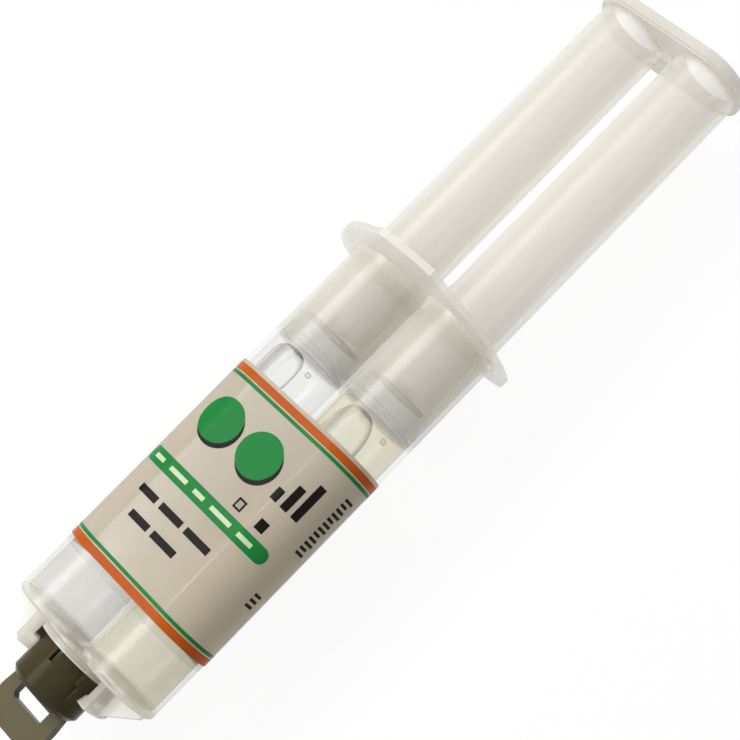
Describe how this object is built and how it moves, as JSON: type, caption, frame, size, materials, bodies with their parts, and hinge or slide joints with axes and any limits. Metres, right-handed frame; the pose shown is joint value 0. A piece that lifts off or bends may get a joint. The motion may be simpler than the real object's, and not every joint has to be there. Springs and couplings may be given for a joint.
{
  "type": "epoxy syringe",
  "caption": "Twin chamber epoxy syringe with a joined plunger, a finger flange, a bayonet socket and a turning cap that plugs both outlets.",
  "frame": {"origin": "middle of the whole syringe's box at rest, on the line midway between the two chambers", "axes": "-X towards the outlets and the cap, +X towards the thumb plate, the two chambers side by side along Y, +Z out of the printed side"},
  "size_m": [0.1784, 0.0418, 0.0426],
  "materials": {
    "clear_body": "milky translucent",
    "clear_plunger": "milky translucent",
    "resin_piston": "satin",
    "hardener_piston": "satin",
    "cap": "satin",
    "insert": "satin",
    "label": "printed film",
    "resin": "clear liquid",
    "hardener": "clear liquid"
  },
  "bodies": {
    "syringe": {"barrel": "clear_body", "plug_insert": "insert", "label": "label", "resin": "resin", "hardener": "hardener"},
    "plunger": {"plunger": "clear_plunger", "resin_piston": "resin_piston", "hardener_piston": "hardener_piston"},
    "cap": {"bayonet_cap": "cap"}
  },
  "joints": [
    {"name": "plunger_slide", "type": "slide", "parent": "syringe", "child": "plunger", "axis": [-1, 0, 0], "range_m": [0, 0.0625], "deforming": ["resin", "hardener"]},
    {"name": "cap_twist", "type": "hinge", "parent": "syringe", "child": "cap", "pos_m": [-0.0711, 0, 0], "axis": [-1, 0, 0], "range_deg": [0, 80]}
  ]
}
